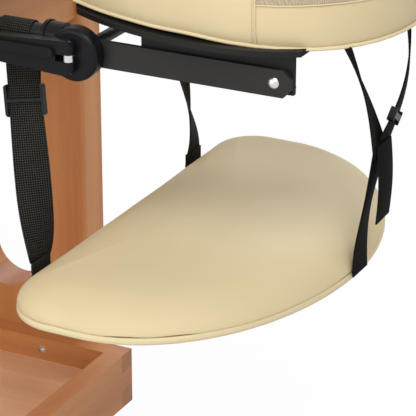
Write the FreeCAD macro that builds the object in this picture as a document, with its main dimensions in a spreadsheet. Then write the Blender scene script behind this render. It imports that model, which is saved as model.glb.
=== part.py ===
import FreeCAD, Part
import math
import os
import Sketcher

Vec = FreeCAD.Vector
Turn = FreeCAD.Rotation
NEARLY_ZERO = 0.01
SLANT = math.sqrt(0.5)

# Wooden treatment table with a sliding face cradle and a hanging arm shelf.
# Frame: +X toward the head end, +Z up, origin on the floor in the middle of the whole outline.

SIZES = {
    # Top and frame
    "top_length": 1850, "top_width": 700, "top_pad": 70, "top_corner": 40, "top_edge": 24,
    "top_hem": 6, "deck_thick": 12, "deck_inset": 6, "frame_top": 748, "cradle_reach": 385,
    "apron_height": 146, "apron_thick": 30, "apron_setback": 8,
    "leg_thick": 52, "leg_width": 254, "stile_width": 82, "leg_inset": 100, "leg_overhang": 75,
    "leg_round": 5, "slot_bottom": 199, "slot_top": 580, "glide_height": 12, "glide_radius": 20,
    "rail_thick": 30, "bearer_thick": 30, "bearer_height": 60, "bearer_pitch": 420,
    "guide_setback": 188, "guide_height": 90,
    # Storage tray
    "tray_rim": 144, "tray_height": 78, "tray_wall": 28, "tray_overhang": 68, "tray_depth": 33,
    "tray_floor": 12, "tray_screw_drop": 17, "tray_screw_inset": 57, "screw_sink": 1,
    # Fasteners
    "screw_head": 5.5, "screw_head_depth": 5, "screw_shank": 3, "screw_length": 60,
    "bolt_head": 9, "bolt_head_height": 4, "bolt_shank": 4, "bolt_length": 90,
    "bolt_low": 32, "bolt_high": 110, "bore_gap": 0.1,
    # Cradle poles and hinge
    "pole_spread": 142, "pole_radius": 11, "pole_length": 528, "pole_drop": 24, "pole_chamfer": 2,
    "run_gap": 0.05, "bush_wall": 4, "bush_flange": 8, "bush_flange_thick": 4,
    "hinge_drop": 12, "arm_length": 229,
    "arm_height": 30, "arm_thick": 6, "arm_tip": 20, "arm_chamfer": 9, "layer_gap": 1,
    "sleeve_radius": 15.5, "sleeve_length": 23, "sleeve_ring": 17, "sleeve_ring_length": 4,
    "pole_end_gap": 23, "web_end_gap": 19, "cheek_radius": 30, "cheek_thick": 17, "cheek_round": 5,
    "inner_cheek_radius": 20, "inner_cheek_thick": 6,
    "tube_radius": 6.75, "rod_radius": 3.5, "rod_end": 12, "nut_radius": 9, "nut_height": 8,
    "washer_radius": 13, "washer_thick": 2,
    # Cam lever
    "lever_thick": 13, "lever_length": 118, "lever_nose": 20, "lever_tail": 13, "lever_gap": 0.5,
    "lever_rib": 4, "lever_slot": 8, "lever_pin": 3, "eye_radius": 6, "lever_tip_round": 9,
    # Level links
    "link_drop": 8, "link_shift": 13, "link_half": 4, "link_thick": 4, "pin_radius": 2.5, "pin_head": 4.5,
    "pin_head_thick": 1.5, "rivet_radius": 4, "rivet_head": 6.5, "rivet_dome": 3.5,
    # Platform and face cushion
    "bracket_back": 158, "bracket_front": 20, "bracket_thick": 6, "bracket_flange": 26,
    "bracket_flange_thick": 4, "bracket_drop": 13, "bracket_tail": 19, "bracket_neck": 60,
    "bracket_nose": 18, "platform_rise": 31, "platform_thick": 6, "platform_lip": 8,
    "platform_front": 29, "platform_back": 13, "hook_thick": 1.5, "cushion_height": 81, "cushion_half": 158,
    "cushion_front": 99, "cushion_back": -252, "cushion_back_half": 110, "cushion_hole": 58,
    "cushion_hole_front": 10, "cushion_tip": 14, "cushion_edge": 22, "cushion_hem": 8,
    "bracket_screw_back": 120, "bracket_screw_front": 30, "pan_head": 5, "pan_head_height": 3,
    # Arm shelf
    "shelf_drop": 266, "shelf_board": 12, "shelf_pad": 27, "shelf_half": 286, "shelf_front": 40,
    "shelf_mid": -157, "shelf_back": -262, "shelf_corner": 66, "board_inset": 3, "pad_edge": 22,
    "pad_hem": 3,
    # Webbing
    "web_width": 40, "web_thick": 2, "near_loop_setback": 78, "far_loop_setback": 65, "loop_gap": 0.1,
    "anchor_half": 184,
    "tab_rise": 4, "tab_height": 27, "near_turn": 90, "near_power": 2.2, "near_sway": 0,
    "far_turn": 87, "far_power": 1.3, "far_sway": 10, "buckle_drop": 66, "buckle_round": 4,
    "buckle_bar": 3.5,
    "buckle_height": 36, "buckle_side": 3.5, "buckle_thick": 8, "buckle_slot": 8, "strap_play": 0.4,
    "vee_half": 86, "vee_x": 52, "vee_top_gap": 0.8, "fold_sink": 0.5, "vee_join_x": 62,
    "vee_join_drop": 108, "vee_foot_gap": 1.5, "near_join_turn": -84, "near_top_turn": -46, "near_bow": 4,
    "far_join_turn": -90, "far_top_turn": -56, "far_bow": 16,
    "tail_length": 73, "tail_start": 0.13, "slider_height": 16, "slider_bar": 7,
    "slider_slot": 2, "slider_share": 0.2,
}

# Places that follow from the sizes
PLACES = {
    "foot_x": "0 - ( top_length + cradle_reach + cushion_front ) / 2",
    "rivet_x": "foot_x + top_length + cradle_reach",
    "leg_inner": "top_width / 2 - leg_inset",
    "guide_x": "foot_x + top_length - leg_overhang - guide_setback",
    "pole_z": "frame_top - pole_drop",
    "hinge_z": "pole_z - hinge_drop",
    "shelf_bottom": "hinge_z - shelf_drop",
}

doc = FreeCAD.newDocument("TreatmentTable")
sheet = doc.addObject("Spreadsheet::Sheet", "Sheet")
for row, (alias, value) in enumerate(SIZES.items(), start=1):
    sheet.set("A%d" % row, alias)
    sheet.set("B%d" % row, str(value))
    sheet.setAlias("B%d" % row, alias)
doc.recompute()

nodes = {}


def bound(text):
    """Expression text with each alias read from the sheet and each place worked out."""
    words = []
    for word in text.replace("(", " ( ").replace(")", " ) ").split():
        if word in PLACES:
            word = "( " + bound(PLACES[word]) + " )"
        words.append("Sheet." + word if word in SIZES else word)
    return " ".join(words)


def size(name):
    """Value of a size or a place."""
    return float(sheet.evalExpression(bound(name)))


def bind(item, **expressions):
    for name, text in expressions.items():
        item.setExpression(name.replace("__", "."), bound(str(text)))


def place(item, at):
    for axis, text in zip("xyz", at):
        item.setExpression("Placement.Base." + axis, bound(str(text)))


def keep(label, item):
    """Register a finished sub-part under its node name."""
    item.Label = label
    nodes[label] = item
    return item


def box(name, length, width, height, at):
    item = doc.addObject("Part::Box", name)
    bind(item, Length=length, Width=width, Height=height)
    place(item, at)
    return item


AXES = {"x": Turn(Vec(0, 1, 0), 90), "y": Turn(Vec(1, 0, 0), -90), "z": Turn()}


def rod(name, radius, length, at, axis):
    """Cylinder that starts at a point and runs along +X, +Y or +Z."""
    item = doc.addObject("Part::Cylinder", name)
    item.Placement = FreeCAD.Placement(Vec(), AXES[axis])
    bind(item, Radius=radius, Height=length)
    place(item, at)
    return item


def fuse(name, *items):
    item = doc.addObject("Part::MultiFuse", name)
    item.Shapes = list(items)
    item.Refine = True
    return item


def cut(name, base, *tools):
    item = doc.addObject("Part::Cut", name)
    item.Base = base
    item.Tool = tools[0] if len(tools) == 1 else fuse(name + "_tools", *tools)
    return item


def group(name, *items):
    item = doc.addObject("Part::Compound", name)
    item.Links = list(items)
    return item


def mirror(name, source, normal, base_x="0"):
    item = doc.addObject("Part::Mirroring", name)
    item.Source = source
    item.Normal = normal
    bind(item, Base__x=base_x)
    return item


ACROSS = Vec(0, 1, 0)
ALONG = Vec(1, 0, 0)


def keep_pair(stem, near):
    """Near and far copies of a piece, mirrored about the middle plane."""
    keep(stem + "_near", near)
    keep(stem + "_far", mirror(stem + "_mirror", near, ACROSS))


def solid(label, shape):
    """Sub-part whose free form is worked out in code from the sheet."""
    item = doc.addObject("Part::Feature", label)
    item.Shape = shape
    item.Placement = FreeCAD.Placement()
    return item


# Derived places along the table, as expressions
MID_X = "( foot_x + top_length / 2 )"
LEG_X = "( foot_x + top_length - leg_overhang )"
TRAY_X = "( foot_x + top_length - leg_overhang + tray_overhang )"
HINGE_X = "( rivet_x - arm_length )"
APRON_Z = "( frame_top - apron_height )"
LEG_OUT = "( leg_inner + leg_thick )"
APRON_X = "( foot_x + top_length - leg_overhang - apron_setback - apron_thick )"
TRAY_FACE = "( leg_inner - tray_wall )"
TRAY_THIRD = "( tray_height / 3 )"
BUSH_RADIUS = "( pole_radius + run_gap + bush_wall )"


def upright(edge):
    return edge.BoundBox.XLength + edge.BoundBox.YLength < NEARLY_ZERO


def edged(kind, name, base, amount, pick):
    """Fillet or chamfer of the edges that a test picks."""
    doc.recompute()
    item = doc.addObject(kind, name)
    item.Base = base
    item.Edges = [(i, amount, amount) for i, edge in enumerate(base.Shape.Edges, 1) if pick(edge)]
    return item


def rounded(name, base, radius, pick):
    return edged("Part::Fillet", name, base, radius, pick)


def bevelled(name, base, amount, pick):
    return edged("Part::Chamfer", name, base, amount, pick)


# Screws of the tray and bolts of the aprons, near side at the head end
SCREW_Z = "( tray_rim - tray_screw_drop )"
SCREW_PLACES = (LEG_X + " - tray_screw_inset", LEG_X + " - leg_width + tray_screw_inset")
BOLT_X = APRON_X + " + apron_thick / 2"
BOLT_PLACES = (APRON_Z + " + bolt_low", APRON_Z + " + bolt_high")


def tray_screw(name, x, gap):
    """Sunk socket screw through the near tray wall, or with a gap its bore."""
    head_depth = "screw_head_depth + screw_sink" if gap != "0" else "screw_head_depth"
    sunk = "- " + TRAY_FACE + " - screw_sink"
    head_back = sunk + " - screw_head_depth"
    head = rod(name + "_head", "screw_head + 4 * " + gap, head_depth, (x, head_back, SCREW_Z), "y")
    shank = rod(name + "_shank", "screw_shank + " + gap, "screw_length - screw_head_depth",
                (x, sunk + " - screw_length", SCREW_Z), "y")
    body = fuse(name + "_body", head, shank)
    if gap != "0":
        return body
    socket = rod(name + "_socket", "screw_head * 0.45", "screw_head_depth / 2",
                 (x, sunk + " - screw_head_depth / 2", SCREW_Z), "y")
    return cut(name, body, socket)


def apron_bolt(name, z, gap):
    """Round-head bolt through the near leg into the apron's end, or with a gap its bore."""
    start = "- " + LEG_OUT
    shank = rod(name + "_shank", "bolt_shank + " + gap, "bolt_length", (BOLT_X, start, z), "y")
    if gap != "0":
        return shank
    head = rod(name + "_head", "bolt_head", "bolt_head_height",
               (BOLT_X, start + " - bolt_head_height", z), "y")
    return fuse(name, head, shank)


def four_corners(stem, item):
    """The near head piece and its three mirror copies."""
    far = mirror(stem + "_head_far", item, ACROSS)
    foot = [mirror(stem + "_foot_%d" % i, one, ALONG, MID_X) for i, one in enumerate((item, far))]
    return item, far, foot[0], foot[1]


CORNERS = ("head_near", "head_far", "foot_near", "foot_far")
screws = [tray_screw("TrayScrew%d" % i, x, "0") for i, x in enumerate(SCREW_PLACES)]
screw_bores = [tray_screw("TrayBore%d" % i, x, "bore_gap") for i, x in enumerate(SCREW_PLACES)]
bolts = [apron_bolt("ApronBolt%d" % i, z, "0") for i, z in enumerate(BOLT_PLACES)]
bolt_bores = [apron_bolt("BoltBore%d" % i, z, "bore_gap") for i, z in enumerate(BOLT_PLACES)]


# Leg panels with a round-ended upright slot
def leg_panel():
    x0 = LEG_X + " - leg_width"
    y0 = "- " + LEG_OUT
    board = box("LegBoard", "leg_width", "leg_thick", "frame_top - glide_height",
                (x0, y0, "glide_height"))
    board = rounded("LegRounded", board, size("leg_round"), upright)
    radius = "( leg_width / 2 - stile_width )"
    middle = LEG_X + " - leg_width / 2"
    low = "slot_bottom + " + radius
    high = "slot_top - " + radius
    window = box("SlotWindow", "2 * " + radius, "leg_thick", "slot_top - slot_bottom - 2 * " + radius,
                 (middle + " - " + radius, y0, low))
    ends = [rod("SlotEnd%d" % i, radius, "leg_thick", (middle, y0, z), "y")
            for i, z in enumerate((low, high))]
    return cut("LegPanel", board, window, *ends, *screw_bores, *bolt_bores)


for corner, item in zip(CORNERS, four_corners("leg", leg_panel())):
    keep("leg_panel_" + corner, item)

GLIDE_PLACES = (LEG_X + " - stile_width / 2", LEG_X + " - leg_width + stile_width / 2")
glides = [rod("Glide%d" % i, "glide_radius", "glide_height",
              (x, "- leg_inner - leg_thick / 2", "0"), "z")
          for i, x in enumerate(GLIDE_PLACES)]
keep("leg_glides", group("Glides", *four_corners("glides", group("GlidePair", *glides))))

# Side rails, end aprons, pole guide and deck bearers
RAIL_X = "( foot_x + leg_overhang + leg_width )"
RAIL_LENGTH = "( top_length - 2 * leg_overhang - 2 * leg_width )"
RAIL_IN = "( leg_inner + leg_thick / 2 - rail_thick / 2 )"
keep_pair("side_rail", box("SideRail", RAIL_LENGTH, "rail_thick", "apron_height",
                           (RAIL_X, "- " + RAIL_IN + " - rail_thick", APRON_Z)))


def apron_bores(stem):
    return list(four_corners(stem, group(stem + "_pair", *bolt_bores)))


def cross_board(name, x, thick, z, height, half):
    return box(name, thick, "2 * " + half, height, (x, "- " + half, z))


def pole_hole(name, x, length, radius):
    near = rod(name, radius, length, (x, "- pole_spread", "pole_z"), "x")
    return near, mirror(name + "_far", near, ACROSS)


bore_set = apron_bores("bolt_bore")
head_board = cross_board("HeadBoard", APRON_X, "apron_thick", APRON_Z, "apron_height", "leg_inner")
head_holes = pole_hole("HeadHole", APRON_X, "apron_thick", BUSH_RADIUS)
keep("end_apron_head", cut("HeadApron", head_board, *head_holes, *bore_set[:2]))
foot_apron_x = "foot_x + leg_overhang + apron_setback"
foot_board = cross_board("FootBoard", foot_apron_x, "apron_thick", APRON_Z, "apron_height", "leg_inner")
keep("end_apron_foot", cut("FootApron", foot_board, *bore_set[2:]))
guide_board = cross_board("GuideBoard", "guide_x", "apron_thick", "frame_top - guide_height",
                          "guide_height", "leg_inner")
guide_holes = pole_hole("GuideHole", "guide_x", "apron_thick", BUSH_RADIUS)
keep("pole_guide_rail", cut("GuideRail", guide_board, *guide_holes))
bearers = [cross_board("Bearer%d" % i, MID_X + " - bearer_thick / 2 + bearer_pitch * %d" % i,
                       "bearer_thick", "frame_top - bearer_height", "bearer_height", RAIL_IN)
           for i in (-1, 0, 1)]
keep("deck_bearers", group("Bearers", *bearers))
keep("apron_bolts", group("Bolts", *four_corners("bolts", group("BoltPair", *bolts))))


# Bushes that the cradle poles slide in
def bush(name, x, flange):
    barrel = rod(name + "_barrel", BUSH_RADIUS + " - run_gap", "apron_thick",
                 (x, "- pole_spread", "pole_z"), "x")
    if flange:
        collar = rod(name + "_collar", BUSH_RADIUS + " + bush_flange", "bush_flange_thick",
                     (x + " + apron_thick", "- pole_spread", "pole_z"), "x")
        barrel = fuse(name + "_outer", barrel, collar)
    bore = rod(name + "_bore", "pole_radius + run_gap", "apron_thick + bush_flange_thick",
               (x, "- pole_spread", "pole_z"), "x")
    return cut(name, barrel, bore)


near_bushes = group("NearBushes", bush("HeadBush", APRON_X, True),
                    bush("GuideBush", "guide_x", False))
keep("pole_bushes", group("Bushes", near_bushes, mirror("FarBushes", near_bushes, ACROSS)))

# Deck board of the top
keep("deck_board", box("Deck", "top_length - 2 * deck_inset", "top_width - 2 * deck_inset",
                       "deck_thick", ("foot_x + deck_inset", "- top_width / 2 + deck_inset", "frame_top")))


# Storage tray with finger joints, screwed to the legs
TRAY_LENGTH = "( top_length - 2 * leg_overhang + 2 * tray_overhang )"
TRAY_FOOT = "( foot_x + leg_overhang - tray_overhang )"
TRAY_Z = "( tray_rim - tray_height )"


def tray_long_wall():
    board = box("TrayLongBoard", TRAY_LENGTH, "tray_wall", "tray_height",
                (TRAY_FOOT, "- leg_inner", TRAY_Z))
    notch = box("TrayNotch", "tray_wall", "tray_wall", TRAY_THIRD,
                (TRAY_X + " - tray_wall", "- leg_inner", TRAY_Z + " + " + TRAY_THIRD))
    bores = group("WallBores", *screw_bores)
    copies = [mirror("Foot" + one.Name, one, ALONG, MID_X) for one in (notch, bores)]
    return cut("TrayLongWall", board, notch, *screw_bores, *copies)


def tray_end_wall():
    board = cross_board("TrayEndBoard", TRAY_X + " - tray_wall", "tray_wall", TRAY_Z, "tray_height",
                        "leg_inner")
    notches = []
    for i, step in enumerate(("0", "2")):
        near = box("EndNotch%d" % i, "tray_wall", "tray_wall", TRAY_THIRD,
                   (TRAY_X + " - tray_wall", "- leg_inner", TRAY_Z + " + " + step + " * " + TRAY_THIRD))
        notches += [near, mirror("EndNotchFar%d" % i, near, ACROSS)]
    return cut("TrayEndWall", board, *notches)


keep_pair("tray_wall", tray_long_wall())
end_wall = keep("tray_wall_head", tray_end_wall())
keep("tray_wall_foot", mirror("TrayFootWall", end_wall, ALONG, MID_X))
keep("tray_bottom", box("TrayBottom", TRAY_LENGTH + " - 2 * tray_wall", "2 * " + TRAY_FACE,
                        "tray_floor", (TRAY_FOOT + " + tray_wall", "- " + TRAY_FACE,
                                       "tray_rim - tray_depth - tray_floor")))
keep("tray_screws", group("Screws", *four_corners("screws", group("ScrewPair", *screws))))


# Sketched plates of the cradle
def plate(name, corners, thick, at):
    """Body padded toward -Y from a sketched outline on the XZ plane."""
    body = doc.addObject("PartDesign::Body", name)
    plane = next(p for p in body.Origin.OriginFeatures if p.Role == "XZ_Plane")
    sketch = body.newObject("Sketcher::SketchObject", name + "Sketch")
    sketch.AttachmentSupport = [(plane, "")]
    sketch.MapMode = "FlatFace"
    start = [Vec(math.cos(i), math.sin(i), 0) for i in range(len(corners))]
    for i, point in enumerate(start):
        sketch.addGeometry(Part.LineSegment(point, start[(i + 1) % len(start)]), False)
    for i in range(len(corners)):
        sketch.addConstraint(Sketcher.Constraint("Coincident", i, 2, (i + 1) % len(corners), 1))
    for i, (x, z) in enumerate(corners):
        for kind, text in (("DistanceX", x), ("DistanceY", z)):
            row = sketch.addConstraint(Sketcher.Constraint(kind, -1, 1, i, 1, 1.0))
            sketch.setExpression("Constraints[%d]" % row, bound(text))
    pad = body.newObject("PartDesign::Pad", name + "Pad")
    pad.Profile = sketch
    bind(pad, Length=thick)
    place(body, at)
    return body


# Layers of the hinge, counted from the pole's middle plane toward the outside
CHEEK_IN = "( arm_thick / 2 + layer_gap )"
CHEEK_OUT = "( arm_thick / 2 + layer_gap + cheek_thick )"
INNER_OUT = "( arm_thick / 2 + layer_gap + inner_cheek_thick )"
LINK_IN = "( arm_thick / 2 + 1.5 * layer_gap + inner_cheek_thick )"
LEVER_IN = "( arm_thick / 2 + layer_gap + cheek_thick + lever_gap )"
EYE_OUT = "( arm_thick / 2 + layer_gap + cheek_thick + lever_gap + lever_thick / 2 )"
POLE_END = "( rivet_x - arm_length - pole_end_gap )"
WEB_END = "( rivet_x - arm_length - web_end_gap )"
LINK_Z = "( hinge_z - link_drop )"
HUB_PIN_X = "( rivet_x - arm_length + link_shift )"
BRACKET_PIN_X = "( rivet_x + link_shift )"


def across(name, radius, start, length, x=HINGE_X, z="hinge_z"):
    """Cylinder along Y on the near side, its start counted outward from the pole plane."""
    return rod(name, radius, length, (x, "- pole_spread - " + start, z), "y")


def pole():
    start = (POLE_END + " - pole_length", "- pole_spread", "pole_z")
    bar = rod("PoleBar", "pole_radius", "pole_length", start, "x")
    return bevelled("Pole", bar, size("pole_chamfer"), lambda edge: edge.BoundBox.XLength < NEARLY_ZERO)


def hub():
    """Forked hinge hub: pole sleeve, thick outer cheek, thin inner cheek."""
    sleeve_x = WEB_END + " - sleeve_length"
    sleeve_at = (sleeve_x, "- pole_spread", "pole_z")
    sleeve = rod("Sleeve", "sleeve_radius", "sleeve_length", sleeve_at, "x")
    ring = rod("SleeveRing", "sleeve_ring", "sleeve_ring_length", sleeve_at, "x")
    web = box("HubWeb", "sleeve_length - sleeve_ring_length", INNER_OUT + " + " + CHEEK_OUT,
              "pole_z - hinge_z + arm_height / 2",
              (sleeve_x + " + sleeve_ring_length", "- pole_spread - " + CHEEK_OUT,
               "hinge_z - arm_height / 2"))
    disc = across("CheekDisc", "cheek_radius", CHEEK_OUT, "cheek_thick")
    outer_y = -size("pole_spread") - size("arm_thick") / 2 - size("layer_gap") - size("cheek_thick")
    disc = rounded("Cheek", disc, size("cheek_round"),
                   lambda edge: abs(edge.BoundBox.YMax - outer_y) < NEARLY_ZERO)
    inside = "( 0 - " + CHEEK_IN + " )"
    inner = across("InnerCheek", "inner_cheek_radius", inside, "inner_cheek_thick")
    tongue = box("InnerTongue", "web_end_gap + sleeve_ring_length", "inner_cheek_thick",
                 "inner_cheek_radius", (WEB_END + " - sleeve_ring_length", "- pole_spread + " + CHEEK_IN,
                                        "hinge_z - inner_cheek_radius / 2"))
    bores = (rod("PoleSocket", "pole_radius + run_gap", "sleeve_length",
                 (POLE_END + " - sleeve_length", "- pole_spread", "pole_z"), "x"),
             across("RodBore", "rod_radius + run_gap", CHEEK_OUT, "cheek_thick"),
             across("TubeBore", "tube_radius + run_gap", inside, "inner_cheek_thick"),
             across("PinBore", "pin_radius + run_gap", inside, "inner_cheek_thick", HUB_PIN_X, LINK_Z))
    return cut("Hub", fuse("HubBody", sleeve, ring, web, disc, inner, tongue), *bores)


def arm_bar():
    z0 = "hinge_z - arm_height / 2"
    y0 = "arm_thick / 2"
    flat = box("ArmFlat", "arm_length + arm_tip", "arm_thick", "arm_height",
               (HINGE_X, "- pole_spread - " + y0, z0))
    tip_x = size("rivet_x") + size("arm_tip")

    def at_tip(edge):
        return edge.BoundBox.XMin > tip_x - NEARLY_ZERO and edge.BoundBox.ZLength < NEARLY_ZERO

    tipped = bevelled("ArmBevelled", flat, size("arm_chamfer"), at_tip)
    round_end = across("ArmEnd", "arm_height / 2", y0, "arm_thick")
    holes = (across("ArmRodHole", "rod_radius + bore_gap", y0, "arm_thick"),
             across("ArmRivetHole", "rivet_radius + run_gap", y0, "arm_thick", "rivet_x"))
    return cut("ArmBar", fuse("ArmBlank", tipped, round_end), *holes)


def arm_rivet():
    """Dome-head rivet from the arm's outside through the bracket."""
    shank = across("RivetShank", "rivet_radius", "arm_thick / 2",
                   "arm_thick + layer_gap + bracket_thick", "rivet_x")
    ball = "( rivet_head * rivet_head + rivet_dome * rivet_dome ) / ( 2 * rivet_dome )"
    dome = doc.addObject("Part::Sphere", "RivetBall")
    bind(dome, Radius=ball)
    place(dome, ("rivet_x", "- pole_spread - arm_thick / 2 - rivet_dome + " + ball, "hinge_z"))
    front = across("RivetFront", "rivet_head", "arm_thick / 2 - rivet_dome", "rivet_dome", "rivet_x")
    cap = doc.addObject("Part::Common", "RivetCap")
    cap.Base = dome
    cap.Tool = front
    return fuse("Rivet", shank, cap)


def level_link():
    y0 = "( 0 - " + LINK_IN + " )"
    flat = box("LinkFlat", "arm_length", "link_thick", "2 * link_half",
               (HUB_PIN_X, "- pole_spread + " + LINK_IN, LINK_Z + " - link_half"))
    ends = [across("LinkEnd%d" % i, "link_half + 1", y0, "link_thick", x, LINK_Z)
            for i, x in enumerate((HUB_PIN_X, BRACKET_PIN_X))]
    holes = [across("LinkHole%d" % i, "pin_radius + run_gap", y0, "link_thick", x, LINK_Z)
             for i, x in enumerate((HUB_PIN_X, BRACKET_PIN_X))]
    return cut("LevelLink", fuse("LinkBlank", flat, *ends), *holes)


def link_pin(name, x):
    """Headed pin that carries one end of a level link."""
    shank = across(name + "Shank", "pin_radius", "( 0 - " + CHEEK_IN + " )",
                   "inner_cheek_thick + layer_gap + link_thick", x, LINK_Z)
    head = across(name + "Head", "pin_head", "( 0 - " + LINK_IN + " - link_thick - layer_gap / 2 )",
                  "pin_head_thick", x, LINK_Z)
    return fuse(name, shank, head)


keep_pair("cradle_pole", pole())
keep_pair("hinge_hub", hub())
keep_pair("arm_bar", arm_bar())
keep_pair("level_link", level_link())
rivet = arm_rivet()
keep("arm_rivets", group("Rivets", rivet, mirror("FarRivet", rivet, ACROSS)))
for stem, x in (("hub", HUB_PIN_X), ("bracket", BRACKET_PIN_X)):
    pin = link_pin(stem.capitalize() + "Pin", x)
    keep(stem + "_link_pins", group(stem + "Pins", pin, mirror(stem + "PinFar", pin, ACROSS)))

# Cross tube between the arms and the clamp rod inside it
tube_half = "( pole_spread - arm_thick / 2 )"
tube_body = rod("TubeBody", "tube_radius", "2 * " + tube_half,
                (HINGE_X, "- " + tube_half, "hinge_z"), "y")
tube_core = rod("TubeCore", "rod_radius + bore_gap", "2 * pole_spread",
                (HINGE_X, "- pole_spread", "hinge_z"), "y")
keep("cross_tube", cut("CrossTube", tube_body, tube_core))
rod_length = EYE_OUT + " + 2 * pole_spread + " + CHEEK_OUT + " + rod_end"
rod_bar = across("RodBar", "rod_radius", EYE_OUT, rod_length)
rod_eye = rod("RodEye", "eye_radius", "lever_slot - 4 * bore_gap",
              (HINGE_X, "- pole_spread - " + EYE_OUT, "hinge_z - lever_slot / 2 + 2 * bore_gap"), "z")
eye_hole = rod("EyeHole", "lever_pin + run_gap", "lever_slot",
               (HINGE_X, "- pole_spread - " + EYE_OUT, "hinge_z - lever_slot / 2"), "z")
keep("clamp_rod", cut("ClampRod", fuse("RodBlank", rod_bar, rod_eye), eye_hole))

# Washer and nut on the far end of the clamp rod
far_face = "pole_spread + " + CHEEK_OUT
washer = rod("Washer", "washer_radius", "washer_thick", (HINGE_X, far_face, "hinge_z"), "y")
nut = doc.addObject("Part::Prism", "Nut")
nut.Polygon = 6
nut.Placement = FreeCAD.Placement(Vec(), AXES["y"])
bind(nut, Circumradius="nut_radius", Height="nut_height")
place(nut, (HINGE_X, far_face + " + washer_thick", "hinge_z"))
nut_bore = rod("NutBore", "rod_radius + run_gap", "washer_thick + nut_height",
               (HINGE_X, far_face, "hinge_z"), "y")
keep("clamp_nut", group("ClampNut", cut("BoredWasher", washer, nut_bore),
                        cut("BoredNut", nut, nut_bore)))


# Cam lever on the near end of the clamp rod
def cam_lever():
    nose_x = HINGE_X + " + lever_thick / 2"
    tail_x = HINGE_X + " - lever_length"
    outline = ((nose_x, "hinge_z - lever_nose"), (tail_x, "hinge_z - lever_tail"),
               (tail_x, "hinge_z + lever_tail"), (nose_x, "hinge_z + lever_nose"))
    blank = plate("LeverPlate", outline, "lever_thick", ("0", "- pole_spread - " + LEVER_IN, "0"))
    blank = rounded("LeverRounded", blank, size("lever_tip_round"),
                    lambda edge: edge.BoundBox.XLength + edge.BoundBox.ZLength < NEARLY_ZERO)
    eye_y = "- pole_spread - " + EYE_OUT
    low = "hinge_z - lever_nose"
    shank = box("LeverShank", "lever_length", "lever_thick", "2 * lever_nose",
                (tail_x, "- pole_spread - " + LEVER_IN + " - lever_thick", low))
    nose = rod("LeverNose", "lever_thick / 2", "2 * lever_nose", (HINGE_X, eye_y, low), "z")
    handle = doc.addObject("Part::Common", "LeverHandle")
    handle.Base = blank
    handle.Tool = fuse("LeverPlan", shank, nose)
    rib_y = "- pole_spread - " + LEVER_IN + " - lever_thick - lever_rib"
    rib = box("LeverRib", "lever_length - 2 * lever_tail - eye_radius", "lever_rib", "lever_tail - 2",
              (tail_x + " + lever_tail", rib_y, "hinge_z"))
    rib_end = rod("LeverRibEnd", "( lever_tail - 2 ) / 2", "lever_rib",
                  (HINGE_X + " - lever_tail - eye_radius", rib_y, "hinge_z + ( lever_tail - 2 ) / 2"), "y")
    slot = box("LeverSlot", "2 * lever_thick", "2 * lever_thick", "lever_slot",
               (HINGE_X + " - lever_thick",
                "- pole_spread - " + LEVER_IN + " - 2 * lever_thick + layer_gap",
                "hinge_z - lever_slot / 2"))
    hole = rod("LeverPinHole", "lever_pin + run_gap", "2 * lever_nose", (HINGE_X, eye_y, low), "z")
    return cut("CamLever", fuse("LeverBody", handle, rib, rib_end), slot, hole)


keep("cam_lever", cam_lever())
keep("lever_pin", rod("LeverPin", "lever_pin", "2 * lever_nose - 4 * layer_gap",
                      (HINGE_X, "- pole_spread - " + EYE_OUT, "hinge_z - lever_nose + 2 * layer_gap"), "z"))

# Brackets that carry the face platform on the arm rivets
PLATFORM_Z = "( hinge_z + platform_rise )"


def bracket():
    back = "rivet_x - bracket_back"
    front = "rivet_x + bracket_front"
    outline = ((back, PLATFORM_Z), (back, PLATFORM_Z + " - bracket_tail"),
               ("rivet_x - bracket_neck", "hinge_z - pin_head"),
               ("rivet_x - bracket_nose", "hinge_z - bracket_drop"),
               (front, "hinge_z - bracket_drop"), (front, PLATFORM_Z))
    side = plate("BracketSide", outline, "bracket_thick",
                 ("0", "- pole_spread + " + CHEEK_IN + " + bracket_thick", "0"))
    flange = box("BracketFlange", "bracket_back + bracket_front", "bracket_flange", "bracket_flange_thick",
                 (back, "- pole_spread + " + CHEEK_IN, PLATFORM_Z + " - bracket_flange_thick"))
    inside = "( 0 - " + CHEEK_IN + " )"
    holes = (across("BracketRivetHole", "rivet_radius + run_gap", inside, "bracket_thick", "rivet_x"),
             across("BracketPinHole", "pin_radius + run_gap", inside, "bracket_thick", BRACKET_PIN_X,
                    LINK_Z))
    return cut("Bracket", fuse("BracketBody", side, flange), *holes)


keep_pair("platform_bracket", bracket())
pan_y = "- pole_spread + " + CHEEK_IN + " + bracket_thick + bracket_flange / 3"
pan_z = PLATFORM_Z + " - bracket_flange_thick - pan_head_height"
pans = [rod("PanHead%d" % i, "pan_head", "pan_head_height", ("rivet_x - " + x, pan_y, pan_z), "z")
        for i, x in enumerate(("bracket_screw_back", "bracket_screw_front"))]
near_pans = group("NearPans", *pans)
keep("bracket_screws", group("PanHeads", near_pans, mirror("FarPans", near_pans, ACROSS)))


# Outlines of the soft pieces and of the boards under them
def closed(runs, first=()):
    """Wire of straight runs (two points) and arcs (three points), after any edges that come first."""
    edges = list(first)
    for run in runs:
        curve = Part.Arc(*run) if len(run) == 3 else Part.LineSegment(*run)
        edges.append(curve.toShape())
    return Part.Wire(edges)


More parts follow.
